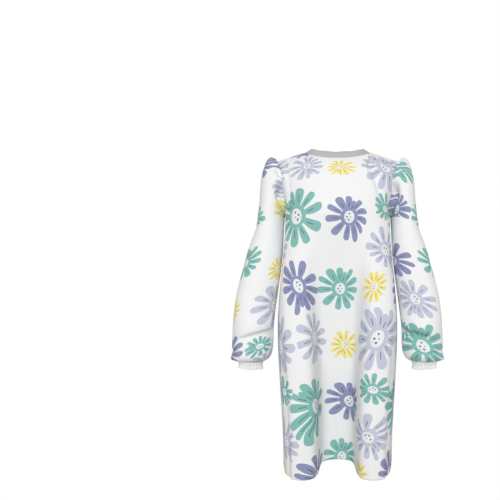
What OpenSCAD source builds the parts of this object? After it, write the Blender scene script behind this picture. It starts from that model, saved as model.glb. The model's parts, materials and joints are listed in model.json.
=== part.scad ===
// Knee-length pullover patient gown: two body panels, puffed sleeve caps, bishop sleeves,
// elastic cuffs with a frill and a flat rib neckband. It hangs as it does on a wearer whose
// arms are held a little forward. +Z is up, the front faces -Y, and the origin is the middle
// of the neck opening, level with the points where the neckband meets the shoulder seams.

/* [Body] */
// Length from the neck points down to the hem
body_length = 990; // [900:10:1100]
// Width across the chest, just under the arms
chest_width = 328; // [318:2:340]
// Width across the hips
hip_width = 382; // [370:2:392]
// Width across the hem
hem_width = 346; // [330:2:370]
// Depth from the side seams to the fullest part of the front
front_depth = 112; // [104:1:124]
// Depth from the side seams to the fullest part of the back
back_depth = 107; // [98:1:118]
// How far the fold down the middle of the front reaches behind the side seams at the hem
valley_reach = 19; // [0:1:30]
// How far the turned-up hem reaches above the hem
hem_turn = 20; // [15:1:30]

/* [Neck and shoulders] */
// Width of the neck opening between the two neck points
neck_width = 202; // [180:2:230]
// Drop of the front neckline below the neck points
front_neck_drop = 46; // [40:1:90]
// Drop of the back neckline below the neck points
back_neck_drop = 16; // [10:1:30]
// Height of the neckband above the neckline at the front
band_height = 21; // [15:1:30]
// Width across the two shoulder tips
shoulder_width = 392; // [376:2:400]
// Drop of each shoulder tip below the neck points
shoulder_drop = 30; // [25:1:45]
// Height of each armhole, from the underarm up to the shoulder tip
armhole_height = 169; // [155:1:175]

/* [Sleeves] */
// Length of the lower sleeve, from the cross seam to the cuff
lower_sleeve_length = 426; // [390:4:470]
// Width of the puffed cap at its fullest, front to back
cap_depth = 124; // [112:2:128]
// Width of the lower sleeve, front to back
sleeve_depth = 114; // [104:2:118]
// Width of the gathered cuff
cuff_width = 70; // [65:1:80]
// Length of the frill below the elastic
frill_length = 10; // [6:1:16]
// Width of the elastic inside the cuff
elastic_width = 8; // [5:1:10]

/* [Cloth] */
// Thickness of the cloth as modelled
cloth = 1; // [0.8:0.1:1.2]
// Thickness of the neckband
band_thickness = 2; // [1.5:0.1:2.5]
// Width of each seam allowance on either side of its stitching
seam_allowance = 5; // [4:0.5:6]

/* [Hidden] */
SIDES = [["left", -1], ["right", 1]];

gap = 0.6;                     // clearance between two pieces that are stitched together
layer = cloth + gap;           // from one layer of cloth to the next one inside it
panel_columns = 17;            // columns from the middle of a panel to its side
lower_rows = 26;               // rows of a panel from the hem to the underarm
upper_rows = 9;                // rows of a panel above the underarm
tube_sides = 28;

chest_half = chest_width / 2;
neck_half = neck_width / 2;
tip_half = shoulder_width / 2;
tip = [tip_half, 0, -shoulder_drop];
underarm_z = -shoulder_drop - armhole_height;
bust_z = underarm_z - 30;      // the front folds start here
crown_z = underarm_z - 60;     // above here the panels curve in to the shoulders
hip_z = underarm_z - 360;
squareness = 2.5;              // exponent of the superellipse that the chest follows
shoulder_pitch = 0.8;          // below 1 rounds the ridge along the shoulders

// Half of the front's section at the hem, from the middle to the side seam, as shares of the
// half width and of the depth: the floor of the middle fold, its steep wall, the round lobe
// beside it, and the side.
HEM_SECTION = [[0, 0], [0.17, -0.01], [0.27, -0.08], [0.31, -0.3], [0.33, -0.6], [0.39, -0.88],
               [0.52, -0.99], [0.66, -0.99], [0.79, -0.9], [0.9, -0.62], [1, 0]];
FLOOR_POINTS = 4;              // the points of HEM_SECTION that move with valley_reach

// Rings of a right sleeve, as [inner x, inner z, outer x, outer z, y of the middle, half depth].
// The inner side is measured from the underarm and the outer side from the shoulder tip. The
// half depth is a share of the sleeve's depth. The cap runs from the armhole to the cross seam.
CAP_RINGS = [[0, 0, 0, 0, 0, 0.36], [5, -4, 18, 9, 0, 0.46], [6, -7, 36, -22, -1, 0.5],
             [6, -10, 46, -76, -3, 0.5], [6, -13, 51, -148, -5, 0.48], [5, -16, 60, -221, -6, 0.46]];
CAP_BOW = 12;                  // the armhole's front and back lie this far inside a straight line
// The lower sleeve, with its heights as shares of its length below the cross seam.
SLEEVE_RINGS = [[5, 0, 60, 0, -6, 0.5], [8, 0.16, 76, 0.13, -18, 0.5],
                [13, 0.34, 91, 0.31, -30, 0.5], [22, 0.55, 109, 0.51, -42, 0.5],
                [29, 0.75, 119, 0.71, -50, 0.5], [30, 0.92, 123, 0.92, -54, 0.5],
                [42, 0.98, 124, 0.985, -56, 0.44]];
CUFF_MIDDLE = [66, -56];       // x from the shoulder tip, and y
CUFF_TILT = -4;                // the cuff's inner side hangs lower
CUFF_ROUNDNESS = 0.84;         // depth of the cuff as a share of its width

function mix(a, b, t) = a + (b - a) * t;
function smooth(t) = let (c = min(1, max(0, t))) c * c * (3 - 2 * c);
function clamp_index(list, i) = list[min(len(list) - 1, max(0, i))];
// A smooth curve through the points of a list, for t from 0 to 1.
function curve(list, t) =
    let (f = t * (len(list) - 1), i = min(len(list) - 2, floor(f)), k = f - i,
         a = clamp_index(list, i - 1), b = list[i], c = list[i + 1], d = clamp_index(list, i + 2))
    0.5 * (2 * b + (c - a) * k + (2 * a - 5 * b + 4 * c - d) * k * k
           + (3 * b - a - 3 * c + d) * k * k * k);

// Half width of the body at a height below the underarm.
function body_half(z) = z < hip_z
    ? mix(hem_width, hip_width, smooth((z + body_length) / (hip_z + body_length))) / 2
    : mix(hip_width, chest_width, smooth((z - hip_z) / (underarm_z - hip_z))) / 2;
// Half width that the chest would have with no armholes.
function full_half(z) = z <= underarm_z ? body_half(z)
    : mix(chest_half, tip_half + 6, smooth((z - underarm_z) / armhole_height));
// Half width between the armholes, for w from 0 at the underarm to 1 at the shoulder tip.
function armhole_half(w) = mix(chest_half, tip_half, w * w) - 4 * sin(180 * w);
function shoulder_z(x) = -shoulder_drop * max(0, abs(x) - neck_half) / (tip_half - neck_half);
function neckline_z(x, drop) = abs(x) >= neck_half ? shoulder_z(x)
    : -drop * sqrt(1 - pow(x / neck_half, 2));
function rounding(share) = pow(max(0, 1 - pow(min(1, abs(share)), squareness)), 1 / squareness);
// Share of the full depth that is left on the way up to the shoulder line.
function crown(x, z) = z <= crown_z ? 1
    : pow(max(0, 1 - pow((z - crown_z) / (shoulder_z(x) - crown_z), 3)), shoulder_pitch);
function fold_share(z) = sin(90 * min(1, max(0, bust_z - z) / (0.8 * (bust_z + body_length))));

// The front's section at the hem, with the floor of the middle fold at valley_reach.
function hem_section(u) =
    let (points = [for (i = [0 : len(HEM_SECTION) - 1])
                   let (lift = max(0, 1 - i / FLOOR_POINTS))
                   HEM_SECTION[i] + [0, lift * valley_reach / front_depth]])
    curve(points, abs(u));

// A point of a panel. side is -1 on the front and 1 on the back, u runs from -1 to 1 between
// the side seams, and row counts up from the hem.
function panel_point(side, u, row) =
    let (depth = side < 0 ? front_depth : back_depth,
         drop = side < 0 ? front_neck_drop : back_neck_drop,
         across = sin(90 * u))
    row <= lower_rows
    ? let (z = mix(-body_length, underarm_z, row / lower_rows), half = body_half(z),
           plain = [abs(across), side * rounding(across)], fold = fold_share(z),
           share = side < 0 ? mix(plain, hem_section(u), fold)
                            : plain - [0, 0.1 * fold * exp(-pow((abs(u) - 0.35) / 0.13, 2))])
      [sign(u) * half * share[0], depth * share[1] + side * gap / 2, z]
    : let (w = (row - lower_rows) / upper_rows, x = armhole_half(w) * across,
           z = mix(underarm_z, neckline_z(tip_half * across, drop), w))
      [x, side * (depth * rounding(x / full_half(z)) * crown(x, z) + gap / 2), z];

function unit(v) = v / max(norm(v), 0.000001);
// A grid of points moved inwards by inset, at a right angle to the cloth. Seen from outside,
// with its rows counted upwards, its columns run to the right.
function inset_grid(grid, inset, ring = false) =
    let (rows = len(grid), columns = len(grid[0]))
    [for (r = [0 : rows - 1]) [for (c = [0 : columns - 1])
        let (up = grid[min(rows - 1, r + 1)][c] - grid[max(0, r - 1)][c],
             next = ring ? (c + 1) % columns : min(columns - 1, c + 1),
             last = ring ? (c + columns - 1) % columns : max(0, c - 1))
        grid[r][c] - unit(cross(grid[r][next] - grid[r][last], up)) * inset]];

// Columns of a panel from side to side, with one at each neck point.
neck_u = asin(neck_half / tip_half) / 90;
neck_columns = 6;
half_columns = [for (i = [1 : panel_columns])
                i <= neck_columns ? asin(neck_half / tip_half * sin(90 * i / neck_columns)) / 90
                : mix(neck_u, 1, (i - neck_columns) / (panel_columns - neck_columns))];
COLUMNS = concat([for (i = [panel_columns - 1 : -1 : 0]) -half_columns[i]], [0], half_columns);

// A thin closed solid between two grids of points with the same rows and columns. The columns
// of an open sheet end in an edge, and those of a ring join up.
module sheet(outer, inner, ring = false) {
    rows = len(outer);
    columns = len(outer[0]);
    spans = ring ? columns : columns - 1;
    count = rows * columns;
    function at(r, c) = r * columns + c % columns;
    function quad(a, b, c, d) = [[a, b, c], [a, c, d]];
    polyhedron(
        points = [for (grid = [outer, inner], line = grid, p = line) p],
        faces = [
            for (r = [0 : rows - 2], c = [0 : spans - 1])
                each concat(quad(at(r, c), at(r + 1, c), at(r + 1, c + 1), at(r, c + 1)),
                            quad(count + at(r, c), count + at(r, c + 1),
                                 count + at(r + 1, c + 1), count + at(r + 1, c))),
            for (c = [0 : spans - 1])
                each concat(quad(at(0, c), at(0, c + 1), count + at(0, c + 1), count + at(0, c)),
                            quad(at(rows - 1, c + 1), at(rows - 1, c),
                                 count + at(rows - 1, c), count + at(rows - 1, c + 1))),
            if (!ring) for (r = [0 : rows - 2])
                each concat(quad(at(r + 1, 0), at(r, 0), count + at(r, 0), count + at(r + 1, 0)),
                            quad(at(r, spans), at(r + 1, spans),
                                 count + at(r + 1, spans), count + at(r, spans)))],
        convexity = 12);
}

module panel(side, first_row, last_row, inset, rows) {
    steps = [for (i = [0 : rows]) mix(first_row, last_row, i / rows)];
    grid = [for (row = steps) [for (u = COLUMNS) panel_point(side, -side * u, row)]];
    sheet(on_own_side(inset_grid(grid, inset), side),
          on_own_side(inset_grid(grid, inset + cloth), side));
}
// A panel's points, kept from crossing the line of the shoulder seams.
function on_own_side(grid, side) =
    [for (line = grid) [for (p = line)
        [p[0], p[2] < crown_z ? p[1] : side * max(gap / 2, side * p[1]), p[2]]]];

module front_panel() color("whitesmoke") panel(-1, 0, lower_rows + upper_rows, 0, 35);
module back_panel() color("whitesmoke") panel(1, 0, lower_rows + upper_rows, 0, 35);

hem_rows = hem_turn / (body_length + underarm_z) * lower_rows;
module front_hem() color("white") panel(-1, 0, hem_rows, layer, 1);
module back_hem() color("white") panel(1, 0, hem_rows, layer, 1);

// A point of the neckband at an angle round the neck, for t from 0 at the seam to 1 at the top.
function band_point(angle, t, inset) =
    let (side = sin(angle) < 0 ? -1 : 1, x = neck_half * cos(angle), s = abs(sin(angle)),
         drop = side < 0 ? front_neck_drop : back_neck_drop,
         depth = side < 0 ? front_depth : back_depth,
         z = -drop * s, y = depth * rounding(x / full_half(z)) * crown(x, z) + gap / 2,
         seam = [x, side * y, z + gap],
         top = [x * 0.8, seam[1] - side * 6 * s, mix(band_height / 2, band_height - drop, s)])
    mix(seam, top, t) - inset * [cos(angle), sin(angle), 0.3];
module neckband() color("darkgray") {
    angles = [for (a = [0 : 6 : 354]) a];
    sheet([for (t = [0, 0.5, 1]) [for (a = angles) band_point(a, t, 0)]],
          [for (t = [0, 0.5, 1]) [for (a = angles) band_point(a, t, band_thickness)]], ring = true);
}

tape_drop = 12;                // the tape covers the back neck seam down to here
function tape_point(angle, drop, inset) =
    let (x = neck_half * cos(angle), z = -back_neck_drop * sin(angle) - drop,
         y = back_depth * crown(x, z) * rounding(x / full_half(z)))
    [x, y - inset - 1.5, z - inset];
module neck_tape() color("silver") {
    angles = [for (a = [15 : 10 : 165]) a];
    sheet([for (d = [tape_drop, 2]) [for (a = angles) tape_point(a, d, layer)]],
          [for (d = [tape_drop, 2]) [for (a = angles) tape_point(a, d, layer + cloth)]]);
}

module mirrored(side) mirror([side < 0 ? 1 : 0, 0, 0]) children();

// A strip of seam allowance laid flat inside the gown along a line of points, with its width
// along Y and its thickness along a given direction.
module strip(line, half_width, down) {
    edge = [0, half_width, 0];
    sheet([for (p = line) [p - edge, p + edge]],
          [for (p = line) [p - edge + down, p + edge + down]]);
}

shoulder_sink = 8;             // the shoulder seam's allowance hangs this far below the ridge
shoulder_start = 14;           // and starts this far in from the tip, clear of the armhole's seam
module shoulder_seam() color("white")
    strip([for (i = [0 : 6]) let (x = mix(tip_half - shoulder_start, neck_half + 4, i / 6))
           [x, 0, shoulder_z(x) - shoulder_sink]], seam_allowance / 2, [0, 0, -cloth]);

side_sink = 4;                 // the side seam's allowance lies this far inside the seam
module side_seam() color("white")
    strip([for (i = [0 : 20]) let (z = mix(-body_length + hem_turn + 2, underarm_z - 4, i / 20))
           [body_half(z) - side_sink, 0, z]], seam_allowance, [-cloth, 0, 0]);

// Points of the armhole, from the underarm up the front and down the back.
function armhole_point(angle, inset) =
    let (w = (1 - cos(angle)) / 2, side = angle < 180 ? -1 : 1, z = mix(underarm_z, tip[2], w),
         depth = side < 0 ? front_depth : back_depth, half = armhole_half(w),
         shrink = 1 - inset / (armhole_height / 2))
    [half, side * depth * rounding(half / full_half(z)) * crown(half, z) * shrink,
     mix(underarm_z, tip[2], mix(0.5, w, shrink))];
armhole_inset = 6;             // the allowance lies inside the armhole's edge by this much
function armhole_ring(inset, shift) =
    [for (a = [6 : 12 : 354]) armhole_point(a, inset) - [shift, 0, 0]];
module armhole_seam() color("white") {
    far = layer + 2 * seam_allowance;
    sheet([armhole_ring(armhole_inset, layer), armhole_ring(armhole_inset, far)],
          [armhole_ring(armhole_inset + cloth, layer), armhole_ring(armhole_inset + cloth, far)],
          ring = true);
}

// A ring of a sleeve as [inner x, inner z, outer x, outer z, y, half depth].
function cap_ring(t) =
    let (r = curve(CAP_RINGS, t))
    [chest_half + r[0], underarm_z + r[1], tip[0] + r[2], tip[2] + r[3], r[4], r[5] * cap_depth,
     CAP_BOW * pow(1 - t, 2)];
cross_inner_z = underarm_z + CAP_RINGS[5][1];
cross_outer_z = tip[2] + CAP_RINGS[5][3];
cuff_z = (cross_inner_z + cross_outer_z) / 2 - lower_sleeve_length;
function cuff_ring(drop, half) =
    let (x = tip[0] + CUFF_MIDDLE[0], z = cuff_z - drop)
    [x - half * cos(CUFF_TILT), z + half * sin(CUFF_TILT), x + half * cos(CUFF_TILT),
     z - half * sin(CUFF_TILT), CUFF_MIDDLE[1], half * CUFF_ROUNDNESS];
function sleeve_ring_at(r) =
    [chest_half + r[0], mix(cross_inner_z, cuff_z, r[1]), tip[0] + r[2], mix(cross_outer_z, cuff_z, r[3]),
     r[4], r[5] * sleeve_depth];
LOWER_RINGS = concat([for (r = SLEEVE_RINGS) sleeve_ring_at(r)], [cuff_ring(0, cuff_width / 2)]);

// A point of a ring at an angle.
function ring_point(r, angle) =
    let (p = mix([r[2], r[3]], [r[0], r[1]], (1 - cos(angle)) / 2), bow = len(r) > 6 ? r[6] : 0)
    [p[0] - bow * pow(sin(angle), 2), r[4] + r[5] * sin(angle), p[1]];
// A tube of cloth through rings that are listed downwards. It is open where angles stop short.
module tube(rings, inset, wall, drop = 0, angles = []) {
    closed = len(angles) == 0;
    round = closed ? [for (i = [tube_sides - 1 : -1 : 0]) 360 * i / tube_sides] : angles;
    grid = [for (r = rings) [for (a = round) ring_point(r, a) - [0, 0, drop]]];
    sheet(inset_grid(grid, inset, closed), inset_grid(grid, inset + wall, closed), ring = closed);
}

module sleeve_cap() color("whitesmoke") translate([gap, 0, 0])
    tube([for (i = [0 : 12]) cap_ring(i / 12)], 0, cloth);
module lower_sleeve() color("whitesmoke") translate([gap, 0, 0])
    tube([for (i = [0 : 20]) curve(LOWER_RINGS, i / 20)], 0, cloth, gap);
module cross_seam() color("white") translate([gap, 0, 0])
    tube([cap_ring(0.97), cap_ring(1), curve(LOWER_RINGS, 0.015)], 2 * layer, cloth);
module underarm_seam() color("white") translate([gap, 0, 0])
    tube([for (i = [1 : 18]) curve(LOWER_RINGS, i / 20)], layer, cloth, 0,
         [188, 180, 172]);

casing_length = elastic_width + 4;
cuff_half = cuff_width / 2;
waist = 2;                     // the elastic draws the cuff in by this much on each side
module cuff_casing() color("whitesmoke") translate([gap, 0, 0])
    tube([cuff_ring(gap, cuff_half), cuff_ring(casing_length / 2, cuff_half - waist),
          cuff_ring(casing_length, cuff_half - waist)], 0, cloth, gap);
module cuff_elastic() color("ivory") translate([gap, 0, 0])
    tube([for (drop = [2, 2 + elastic_width]) cuff_ring(drop, cuff_half - waist - 1)],
         layer, cloth, gap);
module cuff_frill() color("whitesmoke") translate([gap, 0, 0])
    tube([cuff_ring(casing_length + gap, cuff_half - waist),
          cuff_ring(casing_length + frill_length, cuff_half)], 0, cloth, gap);

front_panel();
back_panel();
front_hem();
back_hem();
neckband();
neck_tape();
mirrored(-1) shoulder_seam();  // left_shoulder_seam
mirrored(1) shoulder_seam();  // right_shoulder_seam
mirrored(-1) side_seam();  // left_side_seam
mirrored(1) side_seam();  // right_side_seam
mirrored(-1) armhole_seam();  // left_armhole_seam
mirrored(1) armhole_seam();  // right_armhole_seam
mirrored(-1) sleeve_cap();  // left_sleeve_cap
mirrored(1) sleeve_cap();  // right_sleeve_cap
mirrored(-1) cross_seam();  // left_cross_seam
mirrored(1) cross_seam();  // right_cross_seam
mirrored(-1) lower_sleeve();  // left_lower_sleeve
mirrored(1) lower_sleeve();  // right_lower_sleeve
mirrored(-1) underarm_seam();  // left_underarm_seam
mirrored(1) underarm_seam();  // right_underarm_seam
mirrored(-1) cuff_elastic();  // left_cuff_elastic
mirrored(1) cuff_elastic();  // right_cuff_elastic
mirrored(-1) cuff_casing();  // left_cuff_casing
mirrored(1) cuff_casing();  // right_cuff_casing
mirrored(-1) cuff_frill();  // left_cuff_frill
mirrored(1) cuff_frill();  // right_cuff_frill
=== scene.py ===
"""A knee-length patient gown with puffed caps, full sleeves, frilled cuffs and a daisy print."""

import json
import logging
import math
from dataclasses import dataclass
from enum import Enum
from typing import Optional, Sequence, Union

import bpy
import numpy as np
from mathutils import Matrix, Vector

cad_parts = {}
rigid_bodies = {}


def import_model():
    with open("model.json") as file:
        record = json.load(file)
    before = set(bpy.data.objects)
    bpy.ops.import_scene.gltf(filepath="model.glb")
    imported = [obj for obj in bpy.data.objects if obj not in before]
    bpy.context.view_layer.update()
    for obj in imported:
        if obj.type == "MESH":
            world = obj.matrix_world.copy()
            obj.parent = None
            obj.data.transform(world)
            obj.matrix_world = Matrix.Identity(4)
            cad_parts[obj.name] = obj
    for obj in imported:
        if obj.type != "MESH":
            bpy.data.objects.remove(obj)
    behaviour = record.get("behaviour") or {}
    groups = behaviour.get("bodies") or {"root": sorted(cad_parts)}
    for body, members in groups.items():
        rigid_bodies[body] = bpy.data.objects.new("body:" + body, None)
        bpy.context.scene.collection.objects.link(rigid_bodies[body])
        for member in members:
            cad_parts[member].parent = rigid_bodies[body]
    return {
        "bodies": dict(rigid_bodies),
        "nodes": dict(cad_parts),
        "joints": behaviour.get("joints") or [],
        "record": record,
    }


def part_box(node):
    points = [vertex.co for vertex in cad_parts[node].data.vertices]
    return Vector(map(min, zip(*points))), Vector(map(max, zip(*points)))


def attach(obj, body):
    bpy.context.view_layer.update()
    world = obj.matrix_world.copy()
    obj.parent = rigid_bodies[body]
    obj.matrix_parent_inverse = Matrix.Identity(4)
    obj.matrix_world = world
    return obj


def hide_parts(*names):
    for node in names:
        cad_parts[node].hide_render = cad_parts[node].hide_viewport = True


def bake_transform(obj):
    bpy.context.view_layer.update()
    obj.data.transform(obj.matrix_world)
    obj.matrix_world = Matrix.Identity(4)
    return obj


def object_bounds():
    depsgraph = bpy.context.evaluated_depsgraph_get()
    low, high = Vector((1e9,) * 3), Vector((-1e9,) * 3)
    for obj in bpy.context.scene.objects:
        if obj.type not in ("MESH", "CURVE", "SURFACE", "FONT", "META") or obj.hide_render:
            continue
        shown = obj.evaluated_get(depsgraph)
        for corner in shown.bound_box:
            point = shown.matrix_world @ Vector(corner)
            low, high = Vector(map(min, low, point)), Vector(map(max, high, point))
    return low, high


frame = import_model()
CAD_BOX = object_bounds()
log = logging.getLogger("gown")

Grid = np.ndarray
Number = Union[float, "Value"]


# ---------------------------------------------------------------- shader maths


class Value:
    """A number in a shader that can be used in sums like a Python number."""

    def __init__(self, tree: bpy.types.NodeTree, socket: bpy.types.NodeSocket) -> None:
        """Hold the socket that carries the number.

        Args:
            tree: the node tree that the socket belongs to.
            socket: the output socket.
        """
        self.tree = tree
        self.socket = socket

    def maths(self, operation: str, *others: Number, first: Optional[Number] = None) -> "Value":
        """Add one Math node.

        Args:
            operation: the node's operation.
            others: the inputs after the first.
            first: what the first input takes, where it isn't this value.

        Returns:
            The node's result.
        """
        node = self.tree.nodes.new("ShaderNodeMath")
        node.operation = operation
        for socket, item in zip(node.inputs, (self if first is None else first, *others)):
            if isinstance(item, Value):
                self.tree.links.new(item.socket, socket)
            else:
                socket.default_value = item
        return Value(self.tree, node.outputs[0])

    def __add__(self, other: Number) -> "Value":
        """Add."""
        return self.maths("ADD", other)

    def __sub__(self, other: Number) -> "Value":
        """Subtract."""
        return self.maths("SUBTRACT", other)

    def __rsub__(self, other: float) -> "Value":
        """Subtract from a plain number."""
        return self.maths("SUBTRACT", self, first=other)

    def __mul__(self, other: Number) -> "Value":
        """Multiply."""
        return self.maths("MULTIPLY", other)

    def __truediv__(self, other: Number) -> "Value":
        """Divide."""
        return self.maths("DIVIDE", other)

    def __rtruediv__(self, other: float) -> "Value":
        """Divide a plain number by this."""
        return self.maths("DIVIDE", self, first=other)

    def __lt__(self, other: Number) -> "Value":
        """Give 1 where this is less than the other, and 0 elsewhere."""
        return self.maths("LESS_THAN", other)

    def size(self) -> "Value":
        """Drop the sign."""
        return self.maths("ABSOLUTE")

    def sine(self) -> "Value":
        """Take the sine of an angle in radians."""
        return self.maths("SINE")

    def least(self, other: Number) -> "Value":
        """Take the smaller of the two."""
        return self.maths("MINIMUM", other)

    def most(self, other: Number) -> "Value":
        """Take the larger of the two."""
        return self.maths("MAXIMUM", other)

    def within(self, low: float, high: float) -> "Value":
        """Hold the value between two limits."""
        return self.most(low).least(high)


class Dye:
    """A material's node tree, with the few ways that the finishes add nodes to it."""

    def __init__(self, name: str) -> None:
        """Start an empty material.

        Args:
            name: the material's name.
        """
        self.material = bpy.data.materials.new(name)
        self.material.use_nodes = True
        self.tree = self.material.node_tree
        self.shader = self.tree.nodes["Principled BSDF"]

    def node(self, kind: str, settings: Optional[dict] = None,
             inputs: Optional[dict] = None) -> bpy.types.Node:
        """Add a node, set it, and fill its sockets.

        Args:
            kind: the node's type.
            settings: the node's own properties, by name.
            inputs: a number, tuple, socket or Value for each socket, by name or index.

        Returns:
            The node.
        """
        made = self.tree.nodes.new(kind)
        for key, item in (settings or {}).items():
            setattr(made, key, item)
        for key, item in (inputs or {}).items():
            socket = made.inputs[key]
            if isinstance(item, Value):
                item = item.socket
            if isinstance(item, bpy.types.NodeSocket):
                self.tree.links.new(item, socket)
            else:
                socket.default_value = item
        return made

    def value(self, socket: bpy.types.NodeSocket) -> Value:
        """Wrap a socket for use in sums."""
        return Value(self.tree, socket)

    def plane(self, layer: str = "cloth") -> bpy.types.NodeSocket:
        """Give the piece's flat pattern coordinates, in metres."""
        return self.node("ShaderNodeUVMap", {"uv_map": layer}).outputs[0]

    def apart(self, vector: bpy.types.NodeSocket) -> tuple[Value, Value, Value]:
        """Take a vector apart.

        Args:
            vector: the vector's socket.

        Returns:
            Its X, Y and Z.
        """
        parts = self.node("ShaderNodeSeparateXYZ", inputs={0: vector}).outputs
        return self.value(parts[0]), self.value(parts[1]), self.value(parts[2])

    def vector(self, x: Number, y: Number, z: Number = 0.0) -> bpy.types.NodeSocket:
        """Put a vector together from three numbers."""
        return self.node("ShaderNodeCombineXYZ", inputs={0: x, 1: y, 2: z}).outputs[0]

    def reach(self, x: Value, y: Value) -> Value:
        """Give the distance of a place from zero."""
        return self.value(self.vector_maths("LENGTH", self.vector(x, y)).outputs["Value"])

    def vector_maths(self, operation: str, *items: object) -> bpy.types.Node:
        """Add one Vector Math node with the given inputs in order."""
        return self.node("ShaderNodeVectorMath", {"operation": operation}, dict(enumerate(items)))

    def blend(self, share: Number, low: object, high: object,
              kind: str = "RGBA") -> bpy.types.NodeSocket:
        """Mix two colours or two vectors.

        Args:
            share: 0 for the first and 1 for the second.
            low: the first colour or vector, as a socket or a tuple.
            high: the second.
            kind: the Mix node's data type, RGBA or VECTOR.

        Returns:
            The mixed colour or vector.
        """
        first, second, result = {"RGBA": (6, 7, 2), "VECTOR": (4, 5, 1)}[kind]
        settings = {"data_type": kind, "clamp_factor": True}
        return self.node("ShaderNodeMix", settings, {0: share, first: low, second: high}).outputs[result]

    def finish(self, colour: object, roughness: float, height: Optional[Value] = None,
               depth: float = 0.0002, sheen: float = 0.0) -> bpy.types.Material:
        """Join the colour and the surface relief to the shader.

        Args:
            colour: the base colour, as a socket or a tuple.
            roughness: the roughness all over.
            height: the relief, from 0 to 1.
            depth: how deep the relief is, in metres.
            sheen: the sheen weight all over.

        Returns:
            The finished material.
        """
        base = self.shader.inputs["Base Color"]
        if isinstance(colour, bpy.types.NodeSocket):
            self.tree.links.new(colour, base)
        else:
            base.default_value = colour
        self.shader.inputs["Roughness"].default_value = roughness
        self.shader.inputs["Specular IOR Level"].default_value = 0.2
        self.shader.inputs["Sheen Weight"].default_value = sheen
        if height is not None:
            bump = self.node("ShaderNodeBump", None,
                             {"Strength": 0.5, "Distance": depth, "Height": height})
            self.tree.links.new(bump.outputs[0], self.shader.inputs["Normal"])
        return self.material


def screen(red: int, green: int, blue: int) -> tuple[float, float, float, float]:
    """Turn a colour given in eight-bit display steps into the linear colour that shaders use."""
    def linear(step: int) -> float:
        share = step / 255
        return share / 12.92 if share <= 0.04045 else ((share + 0.055) / 1.055) ** 2.4
    return linear(red), linear(green), linear(blue), 1.0


# ---------------------------------------------------------------- the print


class Ink(Enum):
    """The print's four inks, as the petal colour and the darker colour of the strokes on it."""

    SEA = (screen(128, 182, 174), screen(62, 108, 108))
    SLATE = (screen(139, 144, 178), screen(70, 74, 102))
    LILAC = (screen(190, 193, 209), screen(84, 90, 124))
    YELLOW = (screen(232, 217, 118), screen(124, 114, 54))


@dataclass(frozen=True)
class Petal:
    """One petal of the daisy that the print repeats, in shares of the daisy's radius.

    Attributes:
        turn: its direction, in degrees anticlockwise from the right.
        long: how far its tip is from the middle.
        wide: half its width near the tip.
    """

    turn: float
    long: float
    wide: float


PETALS = (
    Petal(28, 0.90, 0.125), Petal(57, 1.00, 0.090), Petal(73, 0.76, 0.060), Petal(91, 0.94, 0.120),
    Petal(119, 1.00, 0.155), Petal(151, 1.00, 0.105), Petal(184, 0.98, 0.130), Petal(226, 1.00, 0.145),
    Petal(263, 0.98, 0.115), Petal(293, 1.00, 0.145), Petal(321, 0.84, 0.090), Petal(353, 0.84, 0.125))
# The petals start this far from the middle, and merge inside this radius.
PETAL_ROOT = 0.2
CORE = 0.37
# The dark stroke on a petal: where its middle is along the petal, half its length and half its
# width, and how much it slants.
STROKE_MIDDLE, STROKE_LONG, STROKE_WIDE, STROKE_SLANT = 0.58, 0.12, 0.015, 0.12
# Half the width and half the height of the pale heart.
HEART = (0.215, 0.265)
# The five dots at the daisy's heart, as X, Y and radius.
DOTS = ((0.00, 0.14, 0.036), (-0.10, 0.00, 0.040), (0.05, -0.01, 0.023), (-0.02, -0.13, 0.041),
        (-0.14, -0.11, 0.018))


@dataclass(frozen=True)
class Daisy:
    """One daisy of the print.

    Attributes:
        x: its middle across the cloth, in metres.
        y: its middle up the cloth.
        radius: from its middle to its longest petal's tip.
        ink: its ink.
        turn: how far it is turned, in degrees anticlockwise.
        tall: its height as a share of its width.
        plump: the width of its petals, as a share of the usual.
        flipped: whether it is printed the other way round.
    """

    x: float
    y: float
    radius: float
    ink: Ink
    turn: float = 0.0
    tall: float = 1.0
    plump: float = 1.0
    flipped: bool = False


# One repeat of the printed cloth, about the sea-green daisy at its middle.
REPEAT = (0.400, 0.569)
CLOTH_DAISIES = (
    Daisy(-0.141, 0.004, 0.078, Ink.SLATE, 200, 1.0),
    Daisy(0.000, 0.000, 0.067, Ink.SEA, 0, 1.0),
    Daisy(0.128, -0.001, 0.044, Ink.YELLOW, 0, 1.1, 0.85),
    Daisy(-0.109, -0.149, 0.068, Ink.LILAC, 190, 1.15, 0.9, True),
    Daisy(0.002, -0.182, 0.046, Ink.YELLOW, 180, 1.05, 0.85),
    Daisy(0.146, -0.151, 0.090, Ink.LILAC, 0, 1.05, 1.0),
    Daisy(-0.142, -0.358, 0.086, Ink.SEA, 20, 1.05, 1.0, True),
    Daisy(0.020, -0.372, 0.070, Ink.SLATE, 0, 0.92),
    Daisy(0.156, -0.300, 0.047, Ink.SEA, 90, 1.05, 1.0, True),
    Daisy(0.159, -0.440, 0.068, Ink.LILAC, 240, 1.08, 0.9),
)


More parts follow.
